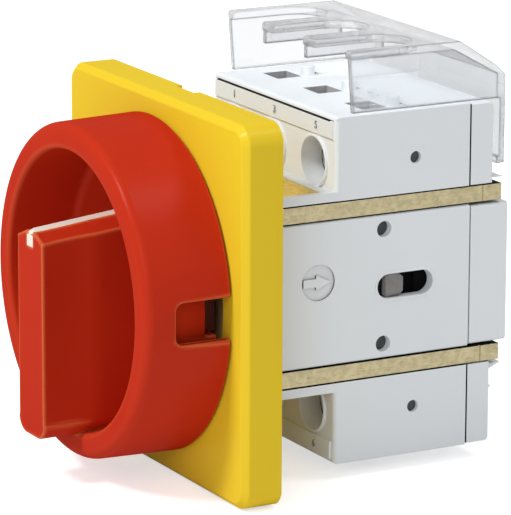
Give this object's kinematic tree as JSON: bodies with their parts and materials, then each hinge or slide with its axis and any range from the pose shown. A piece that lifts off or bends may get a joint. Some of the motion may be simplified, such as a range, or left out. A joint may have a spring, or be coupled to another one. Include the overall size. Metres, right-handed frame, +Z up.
{
  "type": "rotary isolator switch",
  "caption": "Panel isolator switch: red rotary handle with a padlock window on a yellow plate, grey switch body behind with screw terminals, steel frames and a clear terminal cover.",
  "frame": {"origin": "on the shaft's axis at the back face of the yellow plate, where the panel's outer face lies", "axes": "+X to the right seen from the front, +Y from the handle to the back, +Z up; the handle faces -Y"},
  "size_m": [0.09, 0.1107, 0.1016],
  "materials": {
    "red_plastic": "satin moulded",
    "yellow_plastic": "satin moulded",
    "white_plastic": "satin moulded",
    "grey_plastic": "fine grained moulded",
    "clear_plastic": "clear moulded",
    "black_plastic": "moulded",
    "carrier_plastic": "moulded",
    "rubber": "soft",
    "chromated_steel": "yellow chromated",
    "steel": "zinc plated",
    "copper": "bright"
  },
  "bodies": {
    "base": {"front_plate": "yellow_plastic", "panel_seal": "rubber", "shaft_seal": "rubber", "lock_ring": "black_plastic", "fixing_screw_1": "steel", "fixing_screw_2": "steel", "fixing_screw_3": "steel", "fixing_screw_4": "steel", "front_housing": "grey_plastic", "rear_housing": "grey_plastic", "shaft_bush": "black_plastic", "body_screw_1": "steel", "body_screw_2": "steel", "body_screw_3": "steel", "body_screw_4": "steel", "snap_spring": "steel", "upper_frame": "chromated_steel", "upper_terminal_block": "grey_plastic", "upper_terminal_cap": "grey_plastic", "upper_contact_1": "copper", "upper_contact_2": "copper", "upper_contact_3": "copper", "upper_clamp_1": "steel", "upper_clamp_2": "steel", "upper_clamp_3": "steel", "upper_screw_1": "steel", "upper_screw_2": "steel", "upper_screw_3": "steel", "lower_frame": "chromated_steel", "lower_terminal_block": "grey_plastic", "lower_terminal_cap": "grey_plastic", "lower_contact_1": "copper", "lower_contact_2": "copper", "lower_contact_3": "copper", "lower_clamp_1": "steel", "lower_clamp_2": "steel", "lower_clamp_3": "steel", "lower_screw_1": "steel", "lower_screw_2": "steel", "lower_screw_3": "steel", "terminal_cover": "clear_plastic"},
    "handle": {"knob": "red_plastic", "knob_pointer": "white_plastic", "padlock_spring": "steel", "drive_shaft": "steel", "knob_clip": "steel", "drive_cam": "black_plastic"},
    "padlock": {"padlock_slide": "black_plastic"},
    "carrier": {"contact_carrier": "carrier_plastic", "contact_spring_1": "steel", "contact_spring_2": "steel", "contact_spring_3": "steel"},
    "bridge_1": {"bridge_contact_1": "copper"},
    "bridge_2": {"bridge_contact_2": "copper"},
    "bridge_3": {"bridge_contact_3": "copper"}
  },
  "joints": [
    {"name": "knob_turn", "type": "hinge", "parent": "base", "child": "handle", "pos_m": [0, 0, 0], "axis": [0, -1, 0], "range_deg": [0, 90], "deforming": ["snap_spring"]},
    {"name": "carrier_slide", "type": "slide", "parent": "base", "child": "carrier", "axis": [0, 1, 0], "range_m": [0, 0.006]},
    {"name": "padlock_push", "type": "slide", "parent": "handle", "child": "padlock", "axis": [-1, 0, 0], "range_m": [0, 0.003], "stiffness_N_per_m": 120, "springref_m": -0.002, "deforming": ["padlock_spring"]},
    {"name": "bridge_lift_1", "type": "slide", "parent": "carrier", "child": "bridge_1", "axis": [0, 1, 0], "range_m": [0, 0.0012], "stiffness_N_per_m": 600, "springref_m": -0.006, "deforming": ["contact_spring_1"]},
    {"name": "bridge_lift_2", "type": "slide", "parent": "carrier", "child": "bridge_2", "axis": [0, 1, 0], "range_m": [0, 0.0012], "stiffness_N_per_m": 600, "springref_m": -0.006, "deforming": ["contact_spring_2"]},
    {"name": "bridge_lift_3", "type": "slide", "parent": "carrier", "child": "bridge_3", "axis": [0, 1, 0], "range_m": [0, 0.0012], "stiffness_N_per_m": 600, "springref_m": -0.006, "deforming": ["contact_spring_3"]}
  ],
  "couplings": [
    {"joint": "carrier_slide", "follows": "knob_turn", "m_per_rad": 0.0038197}
  ]
}
